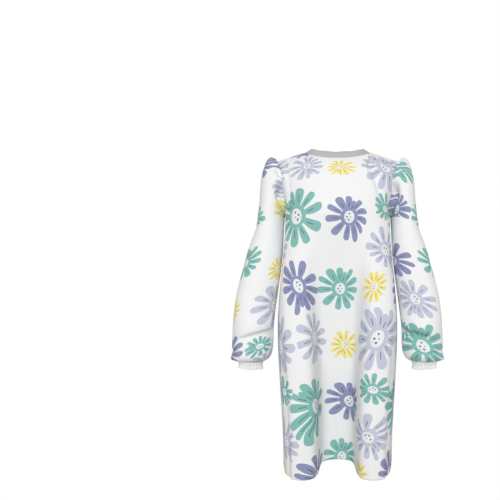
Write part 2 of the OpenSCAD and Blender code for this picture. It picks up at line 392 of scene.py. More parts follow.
@dataclass(frozen=True)
class PrintedCotton:
    """White cotton with a scattered daisy print.

    Attributes:
        name: the material's name.
        daisies: the daisies of one repeat.
        repeat: the repeat's width and height, in metres.
        middle: where the repeat's zero lies on the piece's own pattern coordinates.
        white: the unprinted cloth.
        heart: the middle of each daisy.
        dot_ink: the dots on that middle.
        bleed: width of the ink's soft edge.
        cover: how strongly the dark strokes and dots are printed.
        thread: the distance from one thread of the weave to the next.
    """

    name: str
    daisies: Sequence[Daisy] = CLOTH_DAISIES
    repeat: tuple[float, float] = REPEAT
    middle: tuple[float, float] = (0.0, 0.0)
    white: tuple[float, float, float, float] = screen(232, 232, 232)
    heart: tuple[float, float, float, float] = screen(226, 229, 230)
    dot_ink: tuple[float, float, float, float] = screen(84, 86, 98)
    bleed: float = 0.0008
    cover: float = 0.85
    thread: float = 0.0011

    def nearest(self, dye: Dye) -> tuple[Value, Value, tuple[Value, Value, Value]]:
        """Pick the daisy that each spot of the cloth belongs to.

        Args:
            dye: the material being made.

        Returns:
            The spot's place about that daisy's middle, in radii and as if the daisy stood upright,
            and its ink's number, radius and plumpness.
        """
        wide, high = self.repeat[0] / 2, self.repeat[1] / 2
        plane = dye.vector_maths("SUBTRACT", dye.plane(), (*self.middle, 0.0)).outputs[0]
        inks = list(Ink)
        place = turn = facts = least = None
        for daisy in self.daisies:
            moved = dye.vector_maths("SUBTRACT", plane, (daisy.x, daisy.y, 0.0)).outputs[0]
            moved = dye.vector_maths("WRAP", moved, (wide, high, 1.0), (-wide, -high, -1.0)).outputs[0]
            share = (1 / daisy.radius, 1 / (daisy.radius * daisy.tall), 1.0)
            scaled = dye.vector_maths("MULTIPLY", moved, share).outputs[0]
            reach = dye.value(dye.vector_maths("LENGTH", scaled).outputs["Value"])
            angle = math.radians(daisy.turn)
            this_turn = (math.cos(angle), math.sin(angle), -1.0 if daisy.flipped else 1.0)
            these = (inks.index(daisy.ink), daisy.radius, daisy.plump)
            if least is None:
                place, turn, facts, least = scaled, this_turn, these, reach
                continue
            nearer = reach < least
            place = dye.blend(nearer, place, scaled, "VECTOR")
            turn = dye.blend(nearer, turn, this_turn, "VECTOR")
            facts = dye.blend(nearer, facts, these, "VECTOR")
            least = reach.least(least)
        x, y, _ = dye.apart(place)
        cosine, sine, flip = dye.apart(turn)
        return (x * cosine + y * sine) * flip, y * cosine - x * sine, dye.apart(facts)

    def petals(self, dye: Dye, x: Value, y: Value, plump: Value) -> tuple[Value, Value, Value]:
        """Draw the petals.

        Args:
            dye: the material being made.
            x: the spot's place across the daisy, in radii.
            y: its place up the daisy.
            plump: the width of the petals, as a share of the usual.

        Returns:
            The distance outside the nearest petal, and the spot's place along and across it, as
            shares of its length and of the daisy's radius.
        """
        outside = frame = None
        for petal in PETALS:
            angle = math.radians(petal.turn)
            along = x * math.cos(angle) + y * math.sin(angle)
            aside = y * math.cos(angle) - x * math.sin(angle)
            end = petal.long - petal.wide
            length = end - PETAL_ROOT
            share = ((along - PETAL_ROOT) / length).within(0.0, 1.0)
            gap = along - (share * length + PETAL_ROOT)
            swell = share * (1.9 - share) * petal.wide + 0.03
            gone = dye.reach(gap, aside) - swell * plump
            here = dye.vector(along / petal.long, aside)
            if outside is None:
                outside, frame = gone, here
                continue
            frame = dye.blend(gone < outside, frame, here, "VECTOR")
            outside = outside.least(gone)
        along, aside, _ = dye.apart(frame)
        return outside, along, aside

    def make(self) -> bpy.types.Material:
        """Build the material.

        Returns:
            The printed cotton.
        """
        dye = Dye(self.name)
        x, y, (ink, radius, plump) = self.nearest(dye)
        petal, along, aside = self.petals(dye, x, y, plump)
        petal = petal.least(dye.reach(x, y) - CORE)
        soft = self.bleed / radius
        middle = (along - STROKE_MIDDLE).size()
        slant = aside + (along - STROKE_MIDDLE) * STROKE_SLANT
        stroke = (middle - STROKE_LONG).most(slant.size() - STROKE_WIDE)
        heart_radius = sum(HEART) / 2
        heart = dye.reach(x / HEART[0], y / HEART[1]) * heart_radius - heart_radius
        dots = None
        for dot_x, dot_y, size in DOTS:
            dot = dye.reach(x - dot_x, y - dot_y) - size
            dots = dot if dots is None else dots.least(dot)
        petal_ink, stroke_ink = self.inks(dye, ink)
        colour = dye.blend(self.edge(petal, soft), self.white, petal_ink)
        colour = dye.blend(self.edge(stroke, soft) * self.cover, colour, stroke_ink)
        colour = dye.blend(self.edge(heart, soft), colour, self.heart)
        colour = dye.blend(self.edge(dots, soft) * self.cover, colour, self.dot_ink)
        return dye.finish(colour, 0.85, self.weave(dye), 0.00012, 0.05)

    def edge(self, distance: Value, softness: Number) -> Value:
        """Turn a distance into a mask that is 1 inside a shape, with a soft printed edge."""
        return (0.5 - distance / softness).within(0.0, 1.0)

    def inks(self, dye: Dye, ink: Value) -> tuple[bpy.types.NodeSocket, bpy.types.NodeSocket]:
        """Give the petal colour and the stroke colour of the chosen ink.

        Args:
            dye: the material being made.
            ink: the ink's number.

        Returns:
            The two colours.
        """
        chosen = []
        for part in (0, 1):
            colour: object = list(Ink)[0].value[part]
            for number, each in enumerate(list(Ink)[1:]):
                passed = 1.0 - (ink < number + 0.5)
                colour = dye.blend(passed, colour, each.value[part])
            chosen.append(colour)
        return chosen[0], chosen[1]

    def weave(self, dye: Dye) -> Value:
        """Give the relief of the plain weave, with its slubs.

        Args:
            dye: the material being made.

        Returns:
            The height, from 0 to 1.
        """
        x, y, _ = dye.apart(dye.plane())
        thread = math.tau / self.thread
        slub = dye.node("ShaderNodeTexNoise", None,
                        {"Vector": dye.plane(), "Scale": 900.0, "Detail": 2.0}).outputs[0]
        return ((x * thread).sine() * (y * thread).sine() * 0.25 + 0.5) + dye.value(slub) * 0.3


@dataclass(frozen=True)
class RibKnit:
    """Flat grey rib knit, for the neckband, with painted shade in the furrows between its ribs.

    Attributes:
        pitch: the distance from one rib to the next, in metres.
    """

    pitch: float = 0.0028

    def make(self) -> bpy.types.Material:
        """Build the material.

        Returns:
            The rib knit.
        """
        dye = Dye("grey_rib_knit")
        x, y, _ = dye.apart(dye.plane())
        rib = (x * (math.tau / self.pitch)).sine() * 0.5 + 0.5
        stitch = (y * (math.tau / 0.0016) + rib * 2.0).sine() * 0.15
        fleck = dye.value(dye.node("ShaderNodeTexNoise", None,
                                   {"Vector": dye.plane(), "Scale": 260.0, "Detail": 3.0}).outputs[0])
        # Painted shade darkens the furrows between the ribs, where the relief is low; the flecks are the
        # yarn's own tone.
        rib_shade_and_fleck = (rib * 0.5 + fleck * 0.6).within(0.0, 1.0)
        colour = dye.blend(rib_shade_and_fleck, screen(172, 172, 172), screen(194, 194, 194))
        return dye.finish(colour, 0.9, rib + stitch, 0.0005, 0.1)


@dataclass(frozen=True)
class Webbing:
    """Narrow woven tape, elastic or overlocked edge.

    Attributes:
        name: the material's name.
        dark: painted shade in the hollows between the threads.
        light: the colour of the threads.
        pitch: the distance from one thread to the next, in metres.
    """

    name: str
    # Painted shade in the hollows between the threads.
    dark: tuple[float, float, float, float]
    light: tuple[float, float, float, float]
    pitch: float

    def make(self) -> bpy.types.Material:
        """Build the material.

        Returns:
            The webbing.
        """
        dye = Dye(self.name)
        x, y, _ = dye.apart(dye.plane())
        twill = ((x + y) * (math.tau / self.pitch)).sine() * 0.5 + 0.5
        cross = (y * (math.tau / self.pitch)).sine() * 0.5 + 0.5
        height = (twill * 0.7 + cross * 0.3).within(0.0, 1.0)
        # The colour follows the relief: painted shade darkens the hollows between the threads.
        return dye.finish(dye.blend(height, self.dark, self.light), 0.8, height, 0.0003)


# ---------------------------------------------------------------- cloth in mesh form


def smooth(t: Grid) -> Grid:
    """Ease from 0 to 1 as t does."""
    t = np.clip(t, 0.0, 1.0)
    return t * t * (3 - 2 * t)


def mix(a: object, b: object, t: object) -> Grid:
    """Go from a to b as t goes from 0 to 1."""
    return a + (b - a) * t


def bump(t: Grid, middle: float, spread: float) -> Grid:
    """Give a rounded bump of height 1 about the middle."""
    return np.exp(-(((t - middle) / spread) ** 2))


def curve(points: Sequence, t: Grid) -> Grid:
    """Follow a smooth curve through points that are evenly spaced in t.

    Args:
        points: the numbers, or rows of numbers, that the curve passes through.
        t: where to read it, from 0 to 1.

    Returns:
        The value at each t, with any row of numbers along the last axis.
    """
    row = np.asarray(points, float)
    last = len(row) - 1
    at = np.clip(t, 0, 1) * last
    i = np.minimum(at.astype(int), last - 1)
    k = at - i
    if row.ndim > 1:
        k = k[..., None]
    a, b = row[np.maximum(i - 1, 0)], row[i]
    c, d = row[i + 1], row[np.minimum(i + 2, last)]
    return 0.5 * (2 * b + (c - a) * k + (2 * a - 5 * b + 4 * c - d) * k ** 2
                  + (3 * b - a - 3 * c + d) * k ** 3)


def run_length(points: Grid, axis: int) -> Grid:
    """Measure along a grid of points from its first row or column.

    Args:
        points: the grid, with X, Y and Z along its last axis.
        axis: 0 to measure up the columns, or 1 along the rows.

    Returns:
        The distance at each point.
    """
    steps = np.linalg.norm(np.diff(points, axis=axis), axis=-1)
    pad = [(0, 0), (0, 0)]
    pad[axis] = (1, 0)
    return np.pad(np.cumsum(steps, axis=axis), pad)


def outward(points: Grid, ring: bool) -> Grid:
    """Give the outward direction at each point of a grid of cloth.

    Args:
        points: the grid, whose rows go up and whose columns go right, seen from outside.
        ring: whether the last column is followed by the first.

    Returns:
        A unit vector at each point.
    """
    if ring:
        along = np.roll(points, -1, 1) - np.roll(points, 1, 1)
    else:
        along = np.gradient(points, axis=1)
    normal = np.cross(along, np.gradient(points, axis=0))
    return normal / np.maximum(np.linalg.norm(normal, axis=-1, keepdims=True), 1e-9)


@dataclass
class ClothPiece:
    """A sheet of cloth laid over a grid of points.

    Attributes:
        name: the piece's name.
        points: the outer side, whose rows go up and whose columns go right, seen from outside.
        pattern: the flat pattern coordinates of each point, in metres. A ring has one column more
            than its points.
        ring: whether the last column joins the first.
        thickness: the cloth's thickness.
    """

    name: str
    points: Grid
    pattern: Grid
    ring: bool = False
    thickness: float = 0.0008

    def make(self, material: bpy.types.Material) -> bpy.types.Object:
        """Build the mesh, give it its thickness, and dress it.

        Args:
            material: the cloth's finish.

        Returns:
            The new object.
        """
        rows, columns = self.points.shape[:2]
        spans = columns if self.ring else columns - 1
        r, c = np.mgrid[0:rows - 1, 0:spans]
        right = (c + 1) % columns
        faces = np.stack([r * columns + c, r * columns + right,
                          (r + 1) * columns + right, (r + 1) * columns + c], -1).reshape(-1, 4)
        corners = np.stack([self.pattern[r, c], self.pattern[r, c + 1],
                            self.pattern[r + 1, c + 1], self.pattern[r + 1, c]], 2).reshape(-1, 2)
        mesh = bpy.data.meshes.new(self.name)
        mesh.from_pydata(self.points.reshape(-1, 3).tolist(), [], faces.tolist())
        layer = mesh.uv_layers.new(name="cloth")
        layer.data.foreach_set("uv", corners.astype(np.float32).ravel())
        mesh.polygons.foreach_set("use_smooth", np.ones(len(faces), bool))
        mesh.materials.append(material)
        piece = bpy.data.objects.new(self.name, mesh)
        bpy.context.scene.collection.objects.link(piece)
        wall = piece.modifiers.new("thickness", "SOLIDIFY")
        wall.thickness = self.thickness
        wall.offset = -1.0
        bpy.ops.object.select_all(action="DESELECT")
        bpy.context.view_layer.objects.active = piece
        piece.select_set(True)
        bpy.ops.object.modifier_apply(modifier=wall.name)
        piece.select_set(False)
        return piece


def hand_in(piece: bpy.types.Object, body: str, node: str) -> bpy.types.Object:
    """Hide the plain solid that a piece of cloth stands for, attach the piece to what it moves with, and log
    its faces.

    Args:
        piece: the piece.
        body: the body that it rides on.
        node: the plain solid that it replaces.

    Returns:
        The same piece.
    """
    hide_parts(node)
    if body:
        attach(piece, body)
    log.info("%s: %d faces", piece.name, len(piece.data.polygons))
    return piece


# From the outer side of one layer of cloth to the outer side of the next one inside it.
LAYER = 0.0016


def overlock() -> bpy.types.Material:
    """Build the finish of an overlocked seam allowance."""
    # The first colour is painted shade between the threads.
    return Webbing("overlock_white", screen(196, 196, 196), screen(234, 234, 234), 0.0016).make()


def strip(name: str, points: Grid, material: bpy.types.Material, body: str, node: str,
          ring: bool = False) -> bpy.types.Object:
    """Build a narrow strip of cloth, cut to the length that it runs.

    Args:
        name: the piece's name.
        points: its outer side.
        material: its finish.
        body: the body that it rides on.
        node: the plain solid that it replaces.
        ring: whether its ends meet.

    Returns:
        The piece.
    """
    closed = np.concatenate([points, points[:, :1]], 1) if ring else points
    pattern = np.stack([run_length(closed, 1), run_length(closed, 0)], -1)
    piece = ClothPiece(name, points, pattern, ring).make(material)
    return hand_in(piece, body, node)


# ---------------------------------------------------------------- the body of the gown


class Side(Enum):
    """The front or the back of the gown, as the direction that it faces along Y."""

    FRONT = -1
    BACK = 1


@dataclass
class BodyShape:
    """The shape that the two body panels share, in metres.

    Attributes:
        hem_z: height of the hem.
        front_depth: from the side seams to the fullest part of the front.
        back_depth: from the side seams to the fullest part of the back.
        tip_half: half the width across the shoulder tips.
        neck_half: half the width of the neck opening.
        chest_half, hip_half, hem_half: half widths there.
        tip_z: height of the shoulder tips.
        underarm_z: height of the underarm.
        front_drop, back_drop: drop of the neckline.
        hip_drop: from the underarm down to the hips.
        seam_gap: clearance between two pieces that are stitched together.
    """

    hem_z: float
    front_depth: float
    back_depth: float
    tip_half: float
    neck_half: float
    chest_half: float = 0.164
    hip_half: float = 0.191
    hem_half: float = 0.173
    tip_z: float = -0.030
    underarm_z: float = -0.199
    front_drop: float = 0.046
    back_drop: float = 0.016
    hip_drop: float = 0.360
    seam_gap: float = 0.0004

    @classmethod
    def from_frame(cls) -> "BodyShape":
        """Read the overall sizes from the frame."""
        low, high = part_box("front_panel")
        back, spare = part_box("back_panel")[1], 0.0003
        return cls(hem_z=low.z, front_depth=-low.y - spare, back_depth=back.y - spare,
                   tip_half=high.x, neck_half=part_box("neckband")[1].x)

    def half(self, z: Grid) -> Grid:
        """Give the half width of the body at a height."""
        hip_z, chest_z = self.underarm_z - self.hip_drop, self.underarm_z
        low = mix(self.hem_half, self.hip_half, smooth((z - self.hem_z) / (hip_z - self.hem_z)))
        return np.where(z < hip_z, low,
                        mix(self.hip_half, self.chest_half, smooth((z - hip_z) / (chest_z - hip_z))))

    def full_half(self, z: Grid) -> Grid:
        """Give the half width that the chest would have with no armholes."""
        share = smooth((z - self.underarm_z) / (self.tip_z - self.underarm_z))
        return np.where(z <= self.underarm_z, self.half(z),
                        mix(self.chest_half, self.tip_half + 0.006, share))

    def armhole_half(self, w: Grid) -> Grid:
        """Give the half width between the armholes, for w from 0 at the underarm to 1 at the tip."""
        return mix(self.chest_half, self.tip_half, w * w) - 0.004 * np.sin(np.pi * w)

    def shoulder_z(self, x: Grid) -> Grid:
        """Give the height of the shoulder line."""
        return self.tip_z * np.maximum(0, np.abs(x) - self.neck_half) / (self.tip_half - self.neck_half)

    def neckline_z(self, x: Grid, drop: float) -> Grid:
        """Give the height of a panel's top edge."""
        round_part = -drop * np.sqrt(np.maximum(0, 1 - (x / self.neck_half) ** 2))
        return np.where(np.abs(x) >= self.neck_half, self.shoulder_z(x), round_part)

    def soft_shoulder_z(self, x: Grid) -> Grid:
        """Give the height of the shoulder line with its bend at the neck point rounded off."""
        reach = 0.03
        past = np.abs(x) - self.neck_half
        eased = np.clip(past + reach, 0, None) ** 2 / (4 * reach)
        past = np.where(past > reach, past, eased)
        return self.tip_z * past / (self.tip_half - self.neck_half)

    def crown(self, x: Grid, z: Grid) -> Grid:
        """Give the share of the full depth that is left on the way up to the shoulder line."""
        start = self.underarm_z - 0.06
        rise = np.clip((z - start) / (self.soft_shoulder_z(x) - start), 0, 1)
        return np.maximum(0, 1 - rise ** 3) ** 0.8

    def rounding(self, share: Grid) -> Grid:
        """Give the depth at a share of the half width, on a squarish ellipse."""
        return np.maximum(0, 1 - np.minimum(1, np.abs(share)) ** 2.5) ** 0.4

    def fold(self, z: Grid) -> Grid:
        """Give how far the skirt's folds have formed at a height."""
        start = self.underarm_z - 0.03
        share = np.clip((start - z) / (start - self.hem_z) / 0.8, 0, 1)
        return np.sin(np.pi / 2 * share)


# Half of the front's section at the hem, from the middle to the side seam, as shares of the half
# width and of the depth: the floor of the middle fold, its steep wall, the lobe and the side.
HEM_SECTION = ((0, 0.17), (0.17, 0.118), (0.27, 0.005), (0.31, -0.258), (0.33, -0.6), (0.39, -0.88),
               (0.52, -0.99), (0.66, -0.99), (0.79, -0.9), (0.9, -0.62), (1, 0))


@dataclass(frozen=True)
class Pull:
    """A place on the front where the wearer's stance pulls the print off its even repeat.

    Attributes:
        x, z: the place.
        across, up: how far the print moves there.
    """

    x: float
    z: float
    across: float
    up: float


FRONT_PULLS = (
    Pull(0.02, -0.225, 0.003, 0.012), Pull(-0.13, -0.225, 0.007, -0.003),
    Pull(0.14, -0.17, -0.012, -0.034), Pull(0.145, -0.30, -0.022, -0.018),
    Pull(-0.10, -0.06, 0.0, -0.032), Pull(0.12, -0.06, 0.009, -0.022),
    Pull(0.0, -0.08, -0.005, 0.0), Pull(0.0, -0.44, 0.0, 0.0),
    Pull(0.115, -0.435, -0.015, 0.003), Pull(-0.17, -0.43, 0.018, 0.0),
    Pull(-0.125, -0.43, -0.004, 0.0), Pull(-0.06, -0.43, -0.012, 0.0),
    Pull(0.10, -0.59, 0.012, 0.002), Pull(-0.08, -0.59, 0.005, 0.0),
    Pull(0.09, -0.74, 0.009, 0.0), Pull(0.14, -0.78, 0.040, -0.010),
    Pull(0.08, -0.88, 0.005, -0.008), Pull(0.16, -0.97, 0.0, -0.013),
    Pull(0.0, -0.95, 0.003, 0.0), Pull(-0.18, -0.60, 0.010, -0.027),
    Pull(-0.14, -0.60, -0.035, -0.020), Pull(-0.18, -0.75, -0.005, -0.022),
    Pull(-0.135, -0.73, -0.035, -0.010), Pull(-0.07, -0.78, -0.003, 0.0),
    Pull(-0.17, -0.88, -0.008, -0.034), Pull(-0.125, -0.88, -0.050, -0.030),
    Pull(-0.07, -0.97, 0.005, -0.024), Pull(-0.13, -0.98, -0.030, -0.015))


def pulled(points: Grid, pulls: Sequence[Pull], reach: float = 0.055) -> Grid:
    """Give how far the print has moved at each point, as a smooth blend of the nearest pulls.

    Args:
        points: the panel's points.
        pulls: the places where the print has moved.
        reach: how far each one is felt.

    Returns:
        The move across and up at each point.
    """
    total, weights = 0.0, 1e-6
    for pull in pulls:
        apart = ((points[..., 0] - pull.x) ** 2 + (points[..., 2] - pull.z) ** 2) / reach ** 2
        weight = np.exp(-apart)[..., None]
        total = total + weight * np.array([pull.across, pull.up])
        weights = weights + weight
    return total / weights


@dataclass
class BodyPanels:
    """The front and back panels with their turned-up hems.

    Attributes:
        shape: the body's shape.
        columns: spans of each panel's mesh from side to side.
        skirt_rows, yoke_rows: rows of the mesh below and above the underarm.
        hem_turn: how far the hem is turned up.
    """

    shape: BodyShape
    columns: int = 180
    skirt_rows: int = 205
    yoke_rows: int = 56
    hem_turn: float = 0.020

    def across(self) -> Grid:
        """Give the columns from side seam to side seam, with one at each neck point."""
        neck_u = math.asin(self.shape.neck_half / self.shape.tip_half) / (math.pi / 2)
        inside = int(self.columns / 2 * neck_u)
        arc = np.sin(np.linspace(0, np.pi / 2, inside + 1)[1:])
        neck = np.arcsin(arc * self.shape.neck_half / self.shape.tip_half) / (np.pi / 2)
        rest = np.linspace(neck_u, 1, self.columns // 2 - inside + 1)[1:]
        half = np.concatenate([neck, rest])
        return np.concatenate([-half[::-1], [0.0], half])

    def section(self, side: Side, u: Grid, z: Grid) -> tuple[Grid, Grid]:
        """Give the skirt's section.

        Args:
            side: front or back.
            u: from -1 to 1 between the side seams.
            z: the height.

        Returns:
            X as a share of the half width and Y as a share of the depth.
        """
        s = np.sin(np.pi / 2 * u)
        plain = self.shape.rounding(s)
        fold = self.shape.fold(z)
        if side is Side.FRONT:
            hem = curve(HEM_SECTION, np.abs(u))
            x = mix(s, np.sign(u) * hem[..., 0], fold)
            return x, mix(-plain, hem[..., 1], fold)
        flute = 0.10 * bump(np.abs(u), 0.42, 0.11) + 0.03 * bump(u, 0.03, 0.1)
        return s, plain - fold * flute

    def folds(self, side: Side, u: Grid, z: Grid) -> Grid:
        """Give the smaller folds as a push outwards, in metres.

        Args:
            side: front or back.
            u: from -1 to 1 between the side seams.
            z: the height.

        Returns:
            The push at each point.
        """
        if side is Side.BACK:
            low = smooth((-0.25 - z) / 0.3)
            push = -0.004 * bump(u, -0.62, 0.07) * low + 0.003 * bump(u, -0.2, 0.1) * low
            return push - 0.003 * bump(u, 0.6, 0.06) * low
        chest = smooth((z + 0.24) / 0.05) * smooth((-0.045 - z) / 0.03)
        line = 0.31 + 2.0 * (-0.04 - z)
        drag = smooth((z + 0.20) / 0.05) * smooth((-0.035 - z) / 0.02)
        push = (-0.0060 * bump(u, line, 0.045) + 0.0020 * bump(u, line + 0.12, 0.06)) * drag
        tuck = u + 0.645
        push += -0.0060 * smooth(-tuck / 0.02) * smooth(1 + tuck / 0.16) * chest
        skirt = smooth((-0.45 - z) / 0.25)
        push += -0.005 * bump(u, -0.83, 0.04) * skirt - 0.004 * bump(u, 0.85, 0.05) * skirt
        return push

    def grid(self, side: Side) -> Grid:
        """Lay out a panel's points.

        Args:
            side: front or back.

        Returns:
            The points, rows upwards and columns to the right seen from outside.
        """
        shape = self.shape
        depth = shape.front_depth if side is Side.FRONT else shape.back_depth
        drop = shape.front_drop if side is Side.FRONT else shape.back_drop
        u = self.across() * -side.value
        low_u, low_z = np.meshgrid(u, np.linspace(shape.hem_z, shape.underarm_z, self.skirt_rows))
        x, y = self.section(side, low_u, low_z)
        skirt = np.stack([x * shape.half(low_z), y * depth + side.value * shape.seam_gap, low_z], -1)
        top_u, w = np.meshgrid(u, np.linspace(0, 1, self.yoke_rows + 1)[1:])
        s = np.sin(np.pi / 2 * top_u)
        top_x = shape.armhole_half(w) * s
        top_z = mix(shape.underarm_z, shape.neckline_z(shape.tip_half * s, drop), w)
        top_y = depth * shape.rounding(top_x / shape.full_half(top_z)) * shape.crown(top_x, top_z)
        yoke = np.stack([top_x, side.value * (top_y + shape.seam_gap), top_z], -1)
        points = np.concatenate([skirt, yoke])
        push = self.folds(side, np.concatenate([low_u, top_u]), points[..., 2])
        return points + outward(points, False) * push[..., None]

    def pattern(self, points: Grid) -> Grid:
        """Flatten a panel: across from its middle line, and up from the level of its middle.

        Args:
            points: the panel's points.

        Returns:
            The pattern coordinates.
        """
        x = run_length(points, 1)
        x = x - x[:, self.columns // 2][:, None]
        rise = np.linalg.norm(np.diff(points, axis=0), axis=-1)
        rise = rise * (1 + 0.5 * smooth((points[1:, :, 2] + 0.16) / 0.08))
        rise = rise * (1 + 0.07 * smooth((-0.60 - points[1:, :, 2]) / 0.05))
        y = np.pad(np.cumsum(rise, axis=0), ((1, 0), (0, 0)))
        level = int(np.argmin(np.abs(points[:, self.columns // 2, 2] + 0.44)))
        y = y - y[level][None, :]
        return np.stack([x, y], -1)

    def make(self) -> None:
        """Build and dress both panels and their hems."""
        for side, middle in ((Side.FRONT, (0.011, 0.0)), (Side.BACK, (0.0, -0.013))):
            name = side.name.lower()
            points = self.grid(side)
            pattern = self.pattern(points)
            if side is Side.FRONT:
                pattern = pattern - pulled(points, FRONT_PULLS)
            cotton = PrintedCotton(f"printed_cotton_{name}", middle=middle).make()
            piece = ClothPiece(f"{name}_panel_cloth", points, pattern).make(cotton)
            hand_in(piece, "gown_body", f"{name}_panel")
            rows = int(np.sum(points[:, 0, 2] < self.shape.hem_z + self.hem_turn))
            turned = points[1:rows] - outward(points, False)[1:rows] * LAYER
            hem = ClothPiece(f"{name}_hem_cloth", turned, pattern[1:rows]).make(cotton)
            hand_in(hem, "gown_body", f"{name}_hem")


@dataclass
class BodySeams:
    """The seam allowances inside the body: along the shoulders, down the sides, round the armholes.

    Attributes:
        shape: the body's shape.
        allowance: width of each allowance on either side of its stitching.
        shoulder_sink: how far the shoulder's allowance hangs below the ridge.
        shoulder_start: how far in from the tip it starts, clear of the armhole's allowance.
        side_sink: how far the side's allowance lies inside the seam.
        armhole_inset: how far the armhole's allowance lies inside the armhole's edge.
    """

    shape: BodyShape
    allowance: float = 0.005
    shoulder_sink: float = 0.008
    shoulder_start: float = 0.014
    side_sink: float = 0.004
    armhole_inset: float = 0.006

    def flat(self, line: Grid, half_width: float) -> Grid:
        """Lay out a strip along a line of points, with its width along Y.

        Args:
            line: the points.
            half_width: half the strip's width.

        Returns:
            The strip's points, in two rows.
        """
        edge = np.array([0.0, half_width, 0.0])
        return np.stack([line - edge, line + edge])

    def shoulder(self, face: int) -> Grid:
        """Lay out the allowance along one shoulder, with face -1 for the left one."""
        shape = self.shape
        x = np.linspace(shape.neck_half + 0.004, shape.tip_half - self.shoulder_start, 40)
        line = np.stack([face * x, 0 * x, shape.shoulder_z(x) - self.shoulder_sink], -1)
        return self.flat(line[::face], self.allowance / 2)

    def side(self, face: int) -> Grid:
        """Lay out the allowance down one side, with face -1 for the left one."""
        shape = self.shape
        z = np.linspace(shape.hem_z + 0.022, shape.underarm_z - 0.004, 120)
        line = np.stack([face * (shape.half(z) - self.side_sink), 0 * z, z], -1)
        return self.flat(line[::-face], self.allowance)

    def armhole(self, face: int) -> Grid:
        """Lay out the allowance round one armhole.

        Args:
            face: -1 for the left side and 1 for the right one.

        Returns:
            The ring's points, in two rows.
        """
        shape = self.shape
        angle = np.linspace(0, 2 * np.pi, 120, endpoint=False)
        w = (1 - np.cos(angle)) / 2
        z = mix(shape.underarm_z, shape.tip_z, w)
        half = shape.armhole_half(w)
        front = np.sin(angle) > 0
        depth = np.where(front, shape.front_depth, shape.back_depth) * np.where(front, -1.0, 1.0)
        shrink = 1 - self.armhole_inset / ((shape.tip_z - shape.underarm_z) / 2)
        y = depth * shape.rounding(half / shape.full_half(z)) * shape.crown(half, z) * shrink
        z = mix(shape.underarm_z, shape.tip_z, mix(0.5, w, shrink))
        edges = [np.stack([face * (half - far), y, z], -1) for far in (LAYER, LAYER + 2 * self.allowance)]
        return np.stack(edges)[:, ::face]

    def make(self) -> None:
        """Build and dress the seam allowances."""
        white = overlock()
        for name, face in (("left", -1), ("right", 1)):
            for seam, points in (("shoulder", self.shoulder(face)), ("side", self.side(face)),
                                 ("armhole", self.armhole(face))):
                strip(f"{name}_{seam}_allowance", points, white, "gown_body",
                      f"{name}_{seam}_seam", ring=seam == "armhole")


# ---------------------------------------------------------------- the neckband


@dataclass
class Neckband:
    """The flat rib band round the neck and the tape inside its back seam.

    Attributes:
        shape: the body's shape.
        columns: points of the band's mesh round the neck.
        rows: rows of the mesh from the seam to the top.
        height: height of the band.
        lean: how far the band leans in over its height, as a share of the neck's half width.
    """

    shape: BodyShape
    columns: int = 240
    rows: int = 10
    height: float = 0.021
    lean: float = 0.2

    def grid(self) -> Grid:
        """Lay out the band's outer side.

        Returns:
            The points, rows upwards and columns to the right seen from outside.
        """
        shape = self.shape
        angle, t = np.meshgrid(np.linspace(0, 2 * np.pi, self.columns, endpoint=False),
                               np.linspace(0, 1, self.rows))
        front = np.sin(angle) < 0
        s = np.abs(np.sin(angle))
        drop = np.where(front, shape.front_drop, shape.back_drop)
        depth = np.where(front, shape.front_depth, shape.back_depth)
        face = np.where(front, -1.0, 1.0)
        x, z = shape.neck_half * np.cos(angle), -drop * s
        y = face * (depth * shape.rounding(x / shape.full_half(z)) * shape.crown(x, z) + shape.seam_gap)
        top_z = mix(self.height / 2, self.height - drop, s)
        wave = 0.0006 * np.sin(9 * angle + 1) * t
        rounded = np.sin(np.pi * t) * 0.0012
        return np.stack([mix(x, x * (1 - self.lean), t) + rounded * np.cos(angle),
                         mix(y, y - face * 0.006 * s, t) + rounded * np.sin(angle),
                         mix(z - 0.0005, top_z, t) + wave], -1)

    def tape(self) -> Grid:
        """Lay out the narrow tape over the inside of the back neck seam."""
        shape = self.shape
        angle, drop = np.meshgrid(np.radians(np.linspace(165, 15, 90)), np.linspace(0.012, 0.002, 4))
        x = shape.neck_half * np.cos(angle)
        z = -shape.back_drop * np.sin(angle) - drop
        y = shape.back_depth * shape.crown(x, z) * shape.rounding(x / shape.full_half(z))
        return np.stack([x, y - LAYER - 0.0015, z - LAYER], -1)[:, ::-1]

    def make(self) -> None:
        """Build and dress the band and its tape."""
        points = self.grid()
        closed = np.concatenate([points, points[:, :1]], 1)
        pattern = np.stack([run_length(closed, 1), run_length(closed, 0)], -1)
        band = ClothPiece("neckband_rib", points, pattern, True, 0.0018).make(RibKnit().make())
        hand_in(band, "gown_body", "neckband")
        # The first colour is painted shade between the threads.
        grey = Webbing("grey_tape", screen(150, 150, 152), screen(182, 182, 184), 0.0011).make()
        strip("neck_tape_cloth", self.tape(), grey, "gown_body", "neck_tape")


# ---------------------------------------------------------------- the sleeves


@dataclass(frozen=True)
class SleevePrint:
    """Where the daisies fall on one sleeve, from the middle of its front and down from its top."""

    cap: Sequence[Daisy]
    lower: Sequence[Daisy]


# Rings of a right sleeve from the shoulder tip, in metres, as inner x, inner z, outer x, outer z,
# y of the middle and half depth. The cap runs from the armhole to the cross seam.
CAP_RINGS = (
    (-0.034, -0.169, -0.003, 0.000, 0.000, 0.0446), (-0.027, -0.173, 0.018, 0.009, 0.000, 0.057),
    (-0.026, -0.176, 0.036, -0.022, -0.001, 0.062), (-0.026, -0.179, 0.046, -0.076, -0.003, 0.062),
    (-0.026, -0.182, 0.051, -0.148, -0.005, 0.0595), (-0.027, -0.185, 0.060, -0.221, -0.006, 0.057))
# The armhole's front and back lie this far inside a straight line.
CAP_BOW = 0.012
